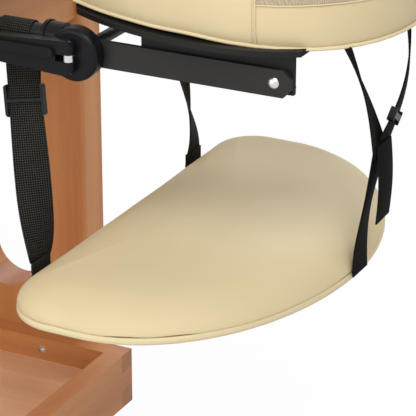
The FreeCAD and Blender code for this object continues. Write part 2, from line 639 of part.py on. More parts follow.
def horseshoe(z, grow, back_inset=0.0):
    """Open ring of the face cushion at one height, widened all round by grow."""
    zero = size("rivet_x")
    half = size("cushion_half") + grow
    wide = zero + size("cushion_front") - size("cushion_half")
    front = zero + size("cushion_front") + grow
    back = zero + size("cushion_back") - grow + back_inset
    back_half = size("cushion_back_half") + grow
    hole = size("cushion_hole") - grow
    hole_front = zero + size("cushion_hole_front") - grow
    tip = back - size("cushion_tip")
    fall = half - back_half
    bend = ((wide - back) ** 2 + fall ** 2) / (2 * fall)
    side_mid = half - bend + math.sqrt(bend ** 2 - ((wide - back) / 2) ** 2)
    hole_mid = hole_front - hole

    def at(x, y):
        return Vec(x, y, z)

    def half_ring(side):
        """Runs of one arm, from the front round the tip to the hole."""
        nose = at(front, 0)
        flank = at(wide, side * half)
        heel = at(back, side * back_half)
        lip = at(back, side * hole)
        turn = at(hole_mid, side * hole)
        return [(nose, at(wide + SLANT * (front - wide), side * SLANT * half), flank),
                (flank, at((wide + back) / 2, side * side_mid), heel),
                (heel, at(tip, side * (back_half + hole) / 2), lip),
                (lip, turn),
                (turn, at(hole_mid + SLANT * hole, side * SLANT * hole), at(hole_front, 0))]

    runs = half_ring(1) + [run[::-1] for run in reversed(half_ring(-1))]
    return closed(runs)


def shelf_outline(z, grow):
    """D outline of the arm shelf: straight back, round corners, half ellipse in front."""
    zero = size("rivet_x")
    half = size("shelf_half") + grow
    back = zero + size("shelf_back") - grow
    mid = zero + size("shelf_mid")
    front = zero + size("shelf_front") + grow
    radius = size("shelf_corner") + grow
    bevel = radius * (1 - SLANT)
    side = half - radius
    ellipse = Part.Ellipse(Vec(mid, half, z), Vec(front, 0, z), Vec(mid, 0, z))
    quarter = math.pi / 2

    def at(x, y):
        return Vec(x, y, z)

    front_arcs = [Part.Arc(ellipse, turn, turn + quarter).toShape() for turn in (0, quarter)]
    runs = [(at(mid, -half), at(back + radius, -half)),
            (at(back + radius, -half), at(back + bevel, bevel - half), at(back, -side)),
            (at(back, -side), at(back, side)),
            (at(back, side), at(back + bevel, half - bevel), at(back + radius, half)),
            (at(back + radius, half), at(mid, half))]
    return closed(runs, front_arcs)


def top_outline(z, grow):
    """Rectangle with round corners."""
    x0 = size("foot_x") - grow
    x1 = size("foot_x") + size("top_length") + grow
    half = size("top_width") / 2 + grow
    radius = size("top_corner")
    bevel = radius * (1 - SLANT)
    runs = []
    for x, y, along, turn in ((x1, half, 1, 1), (x1, -half, -1, 1),
                              (x0, -half, 1, -1), (x0, half, -1, -1)):
        inner = y - math.copysign(radius, y)
        short = y - math.copysign(bevel, y)
        side = Vec(x - turn * radius, y, z)
        end = Vec(x, inner, z)
        corner = (side, Vec(x - turn * bevel, short, z), end)
        runs.append(corner if along > 0 else corner[::-1])
    joined = []
    for i, run in enumerate(runs):
        joined += [run, (run[-1], runs[(i + 1) % len(runs)][0])]
    return closed(joined)


# Share of the height, of the hem's draw and of the top edge's draw at each section of a cushion
CUSHION_FORM = ((0.0, 1.0, 0.0), (0.12, 0.3, 0.0), (0.3, 0.0, 0.0), (0.55, 0.0, 0.0),
                (0.74, 0.0, 0.1), (0.87, 0.0, 0.3), (0.95, 0.0, 0.6), (1.0, 0.0, 1.0))
PAD_FORM = ((0.0, 1.0, 0.0), (0.1, 0.2, 0.0), (0.25, 0.0, 0.03), (0.45, 0.0, 0.11),
            (0.65, 0.0, 0.24), (0.82, 0.0, 0.43), (0.94, 0.0, 0.68), (1.0, 0.0, 1.0))


def cushion(outline, z, height, hem, edge, form):
    """Upholstered solid: drawn in at the hem, fullest below the middle, crowned on top."""
    sections = [outline(z + share * height, -low * hem - high * edge) for share, low, high in form]
    return Part.makeLoft(sections, True, True)


def board(wire, thick):
    return Part.Face(wire).extrude(Vec(0, 0, thick))


platform_z = size("hinge_z") + size("platform_rise")
hook_z = platform_z + size("platform_thick")
cushion_z = hook_z + size("hook_thick")
cut_at = Vec(size("rivet_x") + size("platform_front"), -2 * size("cushion_half"), platform_z)
front_cut = Part.makeBox(size("cushion_front"), 4 * size("cushion_half"), size("cushion_height"), cut_at)
plate_wire = horseshoe(platform_z, size("platform_lip"), size("platform_back"))
plate_ring = board(plate_wire, size("platform_thick"))
hook_ring = board(horseshoe(hook_z, -size("cushion_hem"), size("platform_back")), size("hook_thick"))
keep("platform_plate", solid("PlatformPlate", plate_ring.cut(front_cut)))
keep("hook_layer", solid("HookLayer", hook_ring.cut(front_cut)))
keep("face_cushion", solid("FaceCushion", cushion(
    horseshoe, cushion_z, size("cushion_height"), size("cushion_hem"), size("cushion_edge"), CUSHION_FORM)))
keep("top_cushion", solid("TopCushion", cushion(
    top_outline, size("frame_top") + size("deck_thick"), size("top_pad"), size("top_hem"),
    size("top_edge"), CUSHION_FORM)))
board_wire = shelf_outline(size("shelf_bottom"), -size("board_inset"))
keep("shelf_board", solid("ShelfBoard", board(board_wire, size("shelf_board"))))
keep("shelf_pad", solid("ShelfPad", cushion(
    shelf_outline, size("shelf_bottom") + size("shelf_board"), size("shelf_pad"), size("pad_hem"),
    size("pad_edge"), PAD_FORM)))


# Webbing straps
class Ribbon:
    """Flat webbing along a slightly bowed path whose width turns from one heading to another."""

    def __init__(self, start, end, first_turn, last_turn, bow=0.0, power=1.0):
        self.start = start
        self.end = end
        self.first_turn = first_turn
        self.last_turn = last_turn
        self.bow = Vec(bow, 0, 0)
        self.power = power

    def frame(self, share):
        """Centre, width direction, face direction and path direction at a share of the length."""
        along = self.end - self.start
        middle = self.start + along * share + self.bow * math.sin(math.pi * share)
        along = along + self.bow * (math.pi * math.cos(math.pi * share))
        along.normalize()
        heading = math.radians(self.first_turn + (self.last_turn - self.first_turn) * share ** self.power)
        wide = Vec(math.cos(heading), math.sin(heading), 0)
        wide = wide - along * wide.dot(along)
        wide.normalize()
        return middle, wide, along.cross(wide), along

    def section(self, share, play):
        middle, wide, face, along = self.frame(share)
        w = wide * (size("web_width") / 2 + play)
        f = face * (size("web_thick") / 2 + play)
        first = middle - w - f
        return Part.makePolygon([first, middle + w - f, middle + w + f, middle - w + f, first])

    def shape(self, play=0.0):
        steps = 10
        return Part.makeLoft([self.section(i / steps, play) for i in range(steps + 1)], True, True)

    def slide_frame(self, share, height, bar, slot, front):
        """Tri-glide frame: the webbing runs over its two outer bars and behind its middle bar."""
        middle, wide, face, along = self.frame(share)
        opening = size("web_width") + 2 * size("strap_play")
        deep = size("buckle_thick")

        def block(length, width, tall, shift_y, shift_z):
            corner = Vec(-length / 2, shift_y - width / 2, shift_z - tall / 2)
            return Part.makeBox(length, width, tall, corner)

        whole = block(opening + 2 * size("buckle_side"), deep, height, 0, 0)
        corners = [edge for edge in whole.Edges if edge.BoundBox.YLength > deep - NEARLY_ZERO]
        whole = whole.makeFillet(size("buckle_round"), corners)
        for step in (-1, 1):
            whole = whole.cut(block(opening, deep, height, front * deep / 2, step * (bar + height) / 2))
        whole = whole.cut(block(opening, deep, bar + 2 * slot, -front * deep / 2, 0))
        seat = FreeCAD.Matrix(wide.x, face.x, along.x, middle.x, wide.y, face.y, along.y, middle.y,
                              wide.z, face.z, along.z, middle.z, 0, 0, 0, 1)
        return whole.transformed(seat, True).cut(self.shape(size("strap_play")))


anchor_x = size("rivet_x") + size("shelf_back") - size("web_thick") / 2
anchor_z = size("shelf_bottom") + size("tab_rise") + size("tab_height")
loop_in = size("pole_radius") + size("loop_gap")
loop_out = loop_in + size("web_thick")


def rear_strap(word, side):
    """Webbing looped over a pole and twisting down to the shelf, with its tri-glide."""
    web = size("web_width")
    pole_y = side * size("pole_spread")
    loop_x = size("rivet_x") - size("arm_length") - size(word + "_loop_setback")
    top = Vec(loop_x, pole_y, size("pole_z") - (loop_in + loop_out) / 2)
    anchor = Vec(anchor_x, side * size("anchor_half"), anchor_z - size("tab_rise"))
    down = Ribbon(top, anchor, 0, -side * size(word + "_turn"), size(word + "_sway"), size(word + "_power"))
    ring = Part.makeCylinder(loop_out, web, Vec(loop_x - web / 2, pole_y, size("pole_z")), ALONG)
    bore = Part.makeCylinder(loop_in, 2 * web, Vec(loop_x - web, pole_y, size("pole_z")), ALONG)
    end_z = anchor_z + size("web_thick") / 2 + size("run_gap")
    below_at = Vec(anchor.x - 1.5 * web, anchor.y - 1.5 * web, end_z - web)
    below = Part.makeBox(3 * web, 3 * web, web, below_at)
    keep("rear_strap_" + word, solid("RearStrap" + word, ring.fuse(down.shape()).cut([bore, below])))
    share = size("buckle_drop") / (anchor - top).Length
    buckle = down.slide_frame(share, size("buckle_height"), size("buckle_bar"), size("buckle_slot"), -side)
    keep("strap_buckle_" + word, solid("StrapBuckle" + word, buckle))


rear_strap("near", -1)
rear_strap("far", 1)

# Round-topped tabs on the back of the shelf, where the rear straps end, and their screws
tab_y = "- anchor_half - web_width / 2"
tab_flat = box("TabFlat", "web_thick", "web_width", "tab_height",
               ("rivet_x + shelf_back - web_thick", tab_y, "shelf_bottom + tab_rise"))
tab_fold = rod("TabFold", "web_thick / 2", "web_width",
               ("rivet_x + shelf_back - web_thick / 2", tab_y, "shelf_bottom + tab_rise + tab_height"),
               "y")
tab = fuse("ShelfTab", tab_flat, tab_fold)
keep("shelf_tabs", group("ShelfTabs", tab, mirror("FarTab", tab, ACROSS)))
tab_heads = [rod("TabScrew%d" % i, "pan_head", "pan_head_height",
                 ("rivet_x + shelf_back - web_thick - pan_head_height", "- anchor_half + " + y,
                  "shelf_bottom + tab_rise + pan_head + tab_height / 4"), "x")
             for i, y in enumerate(("web_width / 4", "( 0 - web_width / 4 )"))]
near_heads = group("NearTabScrews", *tab_heads)
keep("tab_screws", group("TabScrews", near_heads, mirror("FarTabScrews", near_heads, ACROSS)))

# Front Y strap from the platform to the front edge of the shelf
join_x = size("rivet_x") + size("vee_join_x")
join_z = size("hinge_z") - size("vee_join_drop")
leg_top_z = cushion_z - size("vee_top_gap")
leg_offset = size("web_width") / 8


def vee_leg(word, side):
    join = Vec(join_x, side * leg_offset, join_z)
    top = Vec(size("rivet_x") + size("vee_x"), side * size("vee_half"), leg_top_z)
    turns = [size(word + end) for end in ("_join_turn", "_top_turn")]
    return Ribbon(join, top, *turns, size(word + "_bow"))


near_leg = vee_leg("near", -1)
far_leg = vee_leg("far", 1)
toe_x = size("rivet_x") + size("shelf_front") + size("vee_foot_gap") + size("web_thick") / 2
toe = Vec(toe_x, 0, size("shelf_bottom") + size("tab_rise"))
main_top = Vec(join_x + size("web_thick"), 0, join_z + size("web_width") / 4)
main_ribbon = Ribbon(main_top, toe, -90, -90)
level = Part.makeBox(4 * size("web_width"), 6 * size("vee_half"), size("web_width"),
                     Vec(join_x - 2 * size("web_width"), -3 * size("vee_half"), leg_top_z))
fold_radius = size("web_thick") / 2
fold_x = size("rivet_x") + size("vee_x")
fold_z = leg_top_z - fold_radius - size("fold_sink")
folds = []
for side in (-1, 1):
    fold_at = Vec(fold_x, side * size("vee_half") - size("web_width") / 4, fold_z)
    folds.append(Part.makeCylinder(fold_radius, size("web_width") / 2, fold_at, ACROSS))
vee_shape = near_leg.shape().fuse([far_leg.shape(), main_ribbon.shape()]).cut(level).fuse(folds)
keep("front_strap", solid("FrontStrap", vee_shape))
tail_top = main_ribbon.frame(size("tail_start"))[0] + Vec(size("web_thick"), 0, 0)
tail_ribbon = Ribbon(tail_top, tail_top - Vec(0, 0, size("tail_length")), -90, -90)
keep("strap_tail", solid("StrapTail", tail_ribbon.shape()))
slider = far_leg.slide_frame(size("slider_share"), size("slider_height"), size("slider_bar"),
                             size("slider_slot"), 1)
keep("strap_slider", solid("StrapSlider", slider))


# Check every object and write each sub-part
doc.recompute()
failed = [item.Name for item in doc.Objects if {"Invalid", "Error"} & set(item.State)]
broken = [label for label, item in nodes.items() if item.Shape.isNull() or not item.Shape.isValid()]
if failed or broken:
    raise RuntimeError("failed objects: %s, broken shapes: %s" % (failed, broken))
os.makedirs("parts", exist_ok=True)
for label, item in nodes.items():
    item.Shape.exportStep("parts/%s.step" % label)
print("%d sub-parts written" % len(nodes))
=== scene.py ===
import math
import bmesh
import bpy
from mathutils import Matrix, Vector, noise


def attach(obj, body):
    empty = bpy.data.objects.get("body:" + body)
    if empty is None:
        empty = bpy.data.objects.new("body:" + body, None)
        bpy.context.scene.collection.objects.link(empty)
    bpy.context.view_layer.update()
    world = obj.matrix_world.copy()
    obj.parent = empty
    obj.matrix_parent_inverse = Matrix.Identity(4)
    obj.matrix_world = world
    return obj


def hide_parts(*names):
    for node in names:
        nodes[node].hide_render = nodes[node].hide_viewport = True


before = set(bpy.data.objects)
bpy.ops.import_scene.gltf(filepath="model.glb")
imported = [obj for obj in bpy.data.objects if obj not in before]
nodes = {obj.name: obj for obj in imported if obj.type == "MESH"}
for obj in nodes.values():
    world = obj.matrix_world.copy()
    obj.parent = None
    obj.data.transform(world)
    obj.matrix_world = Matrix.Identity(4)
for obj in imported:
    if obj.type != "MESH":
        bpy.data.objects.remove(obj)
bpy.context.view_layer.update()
# A fixed seed, so that every run draws the same small waves
NOISE_SEED = 7
noise.seed_set(NOISE_SEED)

# Places and sizes on the part, in metres
POLE_Y = 0.142
POLE_Z = 0.724
POLE_RADIUS = 0.011
WEB_WIDTH = 0.040
WEB_THICK = 0.002

# Sockets of the mix node when it mixes colours
MIX_FACTOR = 0
MIX_FIRST = 6
MIX_SECOND = 7
MIX_COLOUR = 2


# Materials
class Shade:
    """Node material built by short calls."""

    def __init__(self, name, rough, **settings):
        self.mat = bpy.data.materials.new(name)
        self.mat.use_nodes = True
        self.tree = self.mat.node_tree
        self.bsdf = self.tree.nodes["Principled BSDF"]
        self.bsdf.inputs["Roughness"].default_value = rough
        for key, value in settings.items():
            self.bsdf.inputs[key.replace("_", " ")].default_value = value

    def feed(self, socket, value):
        """Link an output to a socket, or set a plain value on it."""
        if isinstance(value, bpy.types.NodeSocket):
            self.tree.links.new(value, socket)
        else:
            socket.default_value = value

    def node(self, kind, **values):
        """New node with each value fed to the input of that name, or set as a property."""
        made = self.tree.nodes.new("ShaderNode" + kind)
        for key, value in values.items():
            name = key.replace("_", " ")
            if name in made.inputs:
                self.feed(made.inputs[name], value)
            else:
                setattr(made, key, value)
        return made

    def place(self, scale=(1, 1, 1), space="Object"):
        coords = self.node("TexCoord").outputs[space]
        return self.node("Mapping", Vector=coords, Scale=scale).outputs["Vector"]

    def noise(self, vector, scale, detail, rough=0.5):
        made = self.node("TexNoise", Vector=vector, Scale=scale, Detail=detail, Roughness=rough)
        return made.outputs["Fac"]

    def math(self, operation, a, b):
        made = self.tree.nodes.new("ShaderNodeMath")
        made.operation = operation
        for socket, value in zip(made.inputs, (a, b)):
            self.feed(socket, value)
        return made.outputs[0]

    def ramp(self, fac, *stops):
        """Colour between two (place, colour) stops."""
        made = self.node("ValToRGB", Fac=fac)
        for point, (place, colour) in zip(made.color_ramp.elements, stops):
            point.position = place
            point.color = (*colour, 1.0)
        return made.outputs["Color"]

    def blend(self, fac, a, b):
        """Mix of two colours, each a socket or a plain colour."""
        made = self.tree.nodes.new("ShaderNodeMix")
        made.data_type = "RGBA"
        self.feed(made.inputs[MIX_FACTOR], fac)
        for place, colour in ((MIX_FIRST, a), (MIX_SECOND, b)):
            self.feed(made.inputs[place], (*colour, 1.0) if isinstance(colour, tuple) else colour)
        return made.outputs[MIX_COLOUR]

    def finish(self, colour, height, strength, distance, rough=None):
        """Material with its colour, a bump from a height and, where given, a linked roughness."""
        links = self.tree.links
        links.new(colour, self.bsdf.inputs["Base Color"])
        bump = self.node("Bump", Strength=strength, Distance=distance, Height=height)
        links.new(bump.outputs["Normal"], self.bsdf.inputs["Normal"])
        if rough is not None:
            links.new(rough, self.bsdf.inputs["Roughness"])
        return self.mat


def span(shade, fac, low, high):
    """A factor between nought and one spread over low to high."""
    return shade.node("MapRange", Value=fac, To_Min=low, To_Max=high).outputs["Result"]


def toned(colour, share):
    """Lighter or darker tone of a colour."""
    return tuple(min(1.0, share * c) for c in colour)


# Grain of the wood: stretch along the axis, and how far each mark shifts the colour
FIBRE_STRETCH = 0.05
FLECK_STRETCH = 0.16
PATCH_DEPTH = 0.22
FLECK_DEPTH = 0.28
FIBRE_DEPTH = 0.16
END_GRAIN_DEPTH = 0.45
END_FACING = 0.5


def beech(name, axis, dark, light):
    """Lacquered beech with growth bands, fibres and dark flecks along one axis, and darker end grain."""
    shade = Shade(name, rough=0.5, Coat_Weight=0.03, Coat_Roughness=0.4)
    along = [1.0, 1.0, 1.0]
    along["xyz".index(axis)] = FIBRE_STRETCH
    flat = [1.0, 1.0, 1.0]
    flat["xyz".index(axis)] = FLECK_STRETCH
    bands = shade.noise(shade.place(along), scale=38.0, detail=4.0, rough=0.55)
    fibre = shade.noise(shade.place(along), scale=420.0, detail=2.0, rough=0.6)
    fleck = shade.noise(shade.place(flat), scale=900.0, detail=1.0, rough=0.4)
    patch = shade.noise(shade.place(), scale=5.0, detail=2.0, rough=0.5)
    colour = shade.ramp(bands, (0.32, dark), (0.68, light))
    colour = shade.blend(span(shade, patch, 0.0, PATCH_DEPTH), colour, toned(dark, 0.8))
    marks = shade.ramp(fleck, (0.60, (0, 0, 0)), (0.70, (1, 1, 1)))
    colour = shade.blend(shade.math("MULTIPLY", marks, FLECK_DEPTH), colour, toned(dark, 0.55))
    colour = shade.blend(span(shade, fibre, 0.0, FIBRE_DEPTH), colour, toned(light, 1.12))
    normal = shade.node("TexCoord").outputs["Normal"]
    facing = shade.node("SeparateXYZ", Vector=normal).outputs[axis.upper()]
    end_grain = shade.math("GREATER_THAN", shade.math("MULTIPLY", facing, facing), END_FACING)
    colour = shade.blend(shade.math("MULTIPLY", end_grain, END_GRAIN_DEPTH), colour, toned(dark, 0.45))
    height = shade.math("SUBTRACT", fibre, shade.math("MULTIPLY", marks, 0.4))
    gloss = span(shade, bands, 0.46, 0.58)
    return shade.finish(colour, height, strength=0.12, distance=0.0004, rough=gloss)


def vinyl(name, base, shadow):
    """Soft upholstery vinyl with a fine pebble grain and faint mottling."""
    shade = Shade(name, rough=0.5, Specular_IOR_Level=0.16)
    cells = shade.node("TexVoronoi", Vector=shade.place(), Scale=900.0, feature="SMOOTH_F1")
    pebble = cells.outputs["Distance"]
    soft = shade.noise(shade.place(), scale=14.0, detail=3.0, rough=0.55)
    colour = shade.blend(span(shade, soft, 0.0, 0.5), base, shadow)
    colour = shade.blend(shade.math("MULTIPLY", pebble, 0.12), colour, shadow)
    height = shade.math("ADD", pebble, shade.math("MULTIPLY", soft, 0.6))
    gloss = span(shade, soft, 0.44, 0.58)
    return shade.finish(colour, height, strength=0.10, distance=0.0004, rough=gloss)


# Scale at which the wave texture makes one wave to each unit of the map
THREAD_WAVE = math.pi / 10


def weave(name, base, thread, pitch, rough):
    """Woven cloth whose warp and weft follow the piece's own flat map, in metres."""
    shade = Shade(name, rough, Specular_IOR_Level=0.04)
    flat = shade.place((1.0 / pitch, 1.0 / pitch, 1.0), "UV")
    warp, weft = [shade.node("TexWave", Vector=flat, Scale=THREAD_WAVE, Distortion=0.1,
                             bands_direction=way).outputs["Fac"] for way in "XY"]
    check = shade.node("TexChecker", Vector=flat, Scale=1.0).outputs["Fac"]
    cross = shade.math("ADD", shade.math("MULTIPLY", warp, check),
                       shade.math("MULTIPLY", weft, shade.math("SUBTRACT", 1.0, check)))
    wear = shade.noise(shade.place(), scale=60.0, detail=2.0)
    # Lighter thread crests: the cloth's own two tones, and on the black webbing a painted highlight on the
    # threads
    colour = shade.ramp(cross, (0.55, base), (0.98, thread))
    colour = shade.blend(span(shade, wear, 0.0, 0.35), colour, base)
    return shade.finish(colour, cross, strength=0.55, distance=0.0006)


def moulded(name, base, rough, grain):
    """Moulded plastic with a fine grain and slightly uneven gloss."""
    shade = Shade(name, rough, Specular_IOR_Level=0.12)
    fine = shade.noise(shade.place(), grain, detail=2.0)
    broad = shade.noise(shade.place(), scale=35.0, detail=2.0)
    colour = shade.blend(span(shade, broad, 0.0, 0.5), base, toned(base, 1.6))
    gloss = span(shade, broad, 0.75 * rough, 1.3 * rough)
    return shade.finish(colour, fine, strength=0.05, distance=0.0003, rough=gloss)


def coated(name, base, rough, metal, stretch=(1, 1, 1)):
    """Coated or plated metal with drawn lines or an even skin."""
    shade = Shade(name, rough, Metallic=metal, Specular_IOR_Level=0.2)
    lines = shade.noise(shade.place(stretch), scale=700.0, detail=2.0)
    broad = shade.noise(shade.place(), scale=22.0, detail=2.0)
    colour = shade.blend(span(shade, lines, 0.0, 0.35), base, toned(base, 1.35))
    gloss = span(shade, broad, 0.8 * rough, 1.25 * rough)
    return shade.finish(colour, lines, strength=0.06, distance=0.0003, rough=gloss)


CREAM = (0.590, 0.487, 0.298)
CREAM_SHADOW = (0.530, 0.422, 0.245)
BEECH_DARK = (0.440, 0.162, 0.047)
BEECH_LIGHT = (0.580, 0.250, 0.082)
WEB_PITCH = 0.0026
vinyl_cream = vinyl("vinyl_cream", CREAM, CREAM_SHADOW)
vinyl_hem = vinyl("vinyl_hem", (0.620, 0.517, 0.322), CREAM)
taupe = weave("taupe_cloth", (0.375, 0.296, 0.205), (0.520, 0.430, 0.312), pitch=0.0016, rough=0.75)
# On the black webbings the lighter thread colour is the weave's pattern shown by a painted highlight on the
# threads
webbing = weave("webbing_black", (0.002, 0.002, 0.002), (0.066, 0.063, 0.054), WEB_PITCH, rough=0.7)
webbing_front = weave("webbing_front", (0.001, 0.001, 0.001), (0.024, 0.023, 0.020), WEB_PITCH, rough=0.8)
thread = moulded("stitch_thread", (0.480, 0.380, 0.210), rough=0.6, grain=900.0)
black_plastic = moulded("plastic_black", (0.006, 0.006, 0.007), rough=0.30, grain=500.0)
buckle_plastic = moulded("plastic_buckle", (0.008, 0.008, 0.008), rough=0.40, grain=700.0)
glide_plastic = moulded("plastic_glide", (0.030, 0.030, 0.030), rough=0.6, grain=500.0)
powder = coated("powder_black", (0.008, 0.008, 0.008), rough=0.42, metal=0.0)
satin_grey = coated("satin_grey", (0.022, 0.021, 0.019), rough=0.42, metal=0.25, stretch=(0.06, 1, 1))
zinc = coated("zinc", (0.620, 0.630, 0.640), rough=0.24, metal=1.0)
dark_steel = coated("steel_dark", (0.160, 0.150, 0.140), rough=0.35, metal=0.9)
hook_cloth = moulded("hook_cloth", (0.007, 0.007, 0.007), rough=0.9, grain=1400.0)
wood = {axis: beech("beech_" + axis, axis, BEECH_DARK, BEECH_LIGHT) for axis in "xyz"}
# Painted light: the tray floor takes a lighter copy of the beech, standing in for light in the shade under
# the shelf
tray_floor_painted_light = beech("beech_tray_floor", "x", (0.640, 0.335, 0.180), (0.780, 0.470, 0.275))
ply = beech("plywood", "x", (0.460, 0.250, 0.120), (0.580, 0.345, 0.180))

# Finishes and rounded edges, by the beginning of a node's name
FINISHES = {
    "leg_panel": wood["z"], "side_rail": wood["x"], "end_apron": wood["y"], "pole_guide": wood["y"],
    "deck_bearers": wood["y"], "tray_wall_near": wood["x"], "tray_wall_far": wood["x"],
    "tray_wall_head": wood["y"], "tray_wall_foot": wood["y"], "tray_bottom": tray_floor_painted_light, "deck_board": ply,
    "shelf_board": ply, "leg_glides": glide_plastic, "hinge_hub": black_plastic, "cam_lever": black_plastic,
    "pole_bushes": black_plastic, "strap_buckle": buckle_plastic, "strap_slider": buckle_plastic,
    "cradle_pole": powder, "platform_bracket": powder, "platform_plate": powder, "level_link": powder,
    "arm_bar": satin_grey, "arm_rivets": zinc, "cross_tube": powder, "clamp_rod": zinc, "clamp_nut": zinc,
    "hub_link_pins": zinc, "bracket_link_pins": zinc, "bracket_screws": zinc, "lever_pin": zinc,
    "tab_screws": zinc, "apron_bolts": dark_steel, "tray_screws": zinc, "hook_layer": hook_cloth,
}
ROUNDED = {"leg_panel": 0.0015, "tray_wall": 0.0012, "end_apron": 0.0012, "side_rail": 0.0015,
           "cam_lever": 0.0016, "strap_buckle": 0.0012, "strap_slider": 0.0009, "arm_bar": 0.0007,
           "hinge_hub": 0.0015, "platform_plate": 0.0015}
SHARP_EDGE = math.radians(40)


def stem_value(table, name):
    """Value of the first key that begins the name."""
    return next((value for stem, value in table.items() if name.startswith(stem)), None)


for name, item in nodes.items():
    finish = stem_value(FINISHES, name)
    if finish is not None:
        for place in item.material_slots:
            place.material = finish
    edge = stem_value(ROUNDED, name)
    if edge is not None:
        bevel = item.modifiers.new("edges", "BEVEL")
        bevel.width = edge
        bevel.segments = 2
        bevel.limit_method = "ANGLE"
        bevel.angle_limit = SHARP_EDGE
        bevel.harden_normals = True


# Mesh helpers
def piece(name, verts, faces, materials, body, stands_for=(), uvs=None, subdivide=0):
    """Smooth mesh that rides on a body and the nodes that it stands for."""
    mesh = bpy.data.meshes.new(name)
    mesh.from_pydata(verts, [], faces)
    if uvs is not None:
        layer = mesh.uv_layers.new(name="flat")
        for loop in mesh.loops:
            layer.data[loop.index].uv = uvs[loop.vertex_index]
    work = bmesh.new()
    work.from_mesh(mesh)
    bmesh.ops.recalc_face_normals(work, faces=work.faces)
    work.to_mesh(mesh)
    work.free()
    mesh.shade_smooth()
    item = bpy.data.objects.new(name, mesh)
    bpy.context.scene.collection.objects.link(item)
    for material in materials:
        mesh.materials.append(material)
    if subdivide:
        item.modifiers.new("smooth", "SUBSURF").levels = subdivide
        item.modifiers["smooth"].render_levels = subdivide
    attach(item, body)
    if stands_for:
        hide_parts(*stands_for)
    return item


def grid_faces(rows, columns, wrap_rows=False):
    """Quads between successive closed rows of points."""
    faces = []
    for r in range(rows if wrap_rows else rows - 1):
        below = (r + 1) % rows
        for c in range(columns):
            right = (c + 1) % columns
            quad = (r * columns + c, r * columns + right, below * columns + right, below * columns + c)
            faces.append(quad)
    return faces


def tube(name, points, radius, material, body, closed=False):
    """Round welt along a line of points."""
    curve = bpy.data.curves.new(name, "CURVE")
    curve.dimensions = "3D"
    curve.bevel_depth = radius
    curve.bevel_resolution = 3
    spline = curve.splines.new("POLY")
    spline.points.add(len(points) - 1)
    for point, at in zip(spline.points, points):
        point.co = (*at, 1.0)
    spline.use_cyclic_u = closed
    item = bpy.data.objects.new(name, curve)
    bpy.context.scene.collection.objects.link(item)
    curve.materials.append(material)
    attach(item, body)


# Padded covers
FRAMES = 20
PRESSURE = 4.0
EVENING = 5
COVER_DETAIL = 2


def swollen(verts, faces, held, cap):
    """Form blown out as cloth, each shift capped and evened, with the points that a test picks held."""
    work = bmesh.new()
    points = [work.verts.new(at) for at in verts]
    for face in faces:
        work.faces.new([points[i] for i in face])
    bmesh.ops.recalc_face_normals(work, faces=work.faces)
    mesh = bpy.data.meshes.new("cover_start")
    work.to_mesh(mesh)
    work.free()
    item = bpy.data.objects.new("cover_start", mesh)
    bpy.context.scene.collection.objects.link(item)
    start = [point.co.copy() for point in item.data.vertices]
    group = item.vertex_groups.new(name="held")
    fixed = {i for i in range(len(start)) if held(i)}
    group.add(sorted(fixed), 1.0, "REPLACE")
    cloth = item.modifiers.new("cloth", "CLOTH")
    cloth.settings.use_pressure = True
    cloth.settings.uniform_pressure_force = PRESSURE
    cloth.settings.vertex_group_mass = group.name
    cloth.settings.effector_weights.gravity = 0.0
    for step in range(1, FRAMES + 1):
        bpy.context.scene.frame_set(step)
    blown = item.evaluated_get(bpy.context.evaluated_depsgraph_get()).data
    ends = [point.co.copy() for point in blown.vertices]
    bpy.context.scene.frame_set(1)
    shifts = []
    for at, end in zip(start, ends):
        shift = end - at
        shifts.append(shift * min(1.0, cap / max(shift.length, cap)))
    pairs = [tuple(edge.vertices) for edge in item.data.edges]
    for _ in range(EVENING):
        total = [shift.copy() for shift in shifts]
        count = [1] * len(shifts)
        for a, b in pairs:
            total[a] += shifts[b]
            total[b] += shifts[a]
            count[a] += 1
            count[b] += 1
        shifts = [Vector() if i in fixed else total[i] / count[i] for i in range(len(shifts))]
    capped = [at + shift for at, shift in zip(start, shifts)]
    faces = [tuple(face.vertices) for face in item.data.polygons]
    bpy.data.objects.remove(item)
    return capped, faces


def soft_shift(at, size, scale):
    """Small even unevenness of stuffed vinyl."""
    return at + noise.noise_vector(at * scale) * size


# Face cushion: a horseshoe swept from one tip round the front to the other
CUSHION_Z = 0.7505
FRONT_X = 1.009
FRONT_RADIUS = 0.158
HOLE_X = 1.020
HOLE_RADIUS = 0.058
BACK_X = 0.816
BACK_HALF = 0.110
TIP_REACH = 0.014
SEAM_TURN = 78.9
SEAM_ROW = 4
# Width of the ring from which the section keeps its full round
FULL_WIDTH = 0.100
# Outside of the section, from the base up: distance in from the edge, and height
CUSHION_SIDE = ((0.0100, 0.0), (0.0045, 0.0035), (0.0012, 0.012), (0.0, 0.026), (0.0, 0.0445),
                (0.0018, 0.058), (0.006, 0.0685), (0.013, 0.0758), (0.022, 0.0795), (0.034, 0.0808))
CROWN = 0.0813
CUSHION_CAP = 0.0025
CUSHION_WAVE = 0.0007
CUSHION_WAVE_SCALE = 22.0
# Sag of the hem towards the front, fading out at a height
SAG = 0.0075
SAG_FROM = 0.960
SAG_RUN = 0.150
SAG_HEIGHT = 0.040
# Stations round the tip, along the arm and round the front
TIP_TURNS = (80, 62, 42, 20)
ARM_STEPS = 16
FRONT_TURNS = (90, SEAM_TURN, 71, 62, 53, 44, 35, 26, 17, 8.5)


def arm_half(x):
    """Half width of the cushion's outside at a place along its arms."""
    if x > FRONT_X:
        return math.sqrt(FRONT_RADIUS ** 2 - (x - FRONT_X) ** 2)
    fall = FRONT_RADIUS - BACK_HALF
    run = FRONT_X - BACK_X
    bend = (run ** 2 + fall ** 2) / (2 * fall)
    return FRONT_RADIUS - bend + math.sqrt(bend ** 2 - (FRONT_X - x) ** 2)


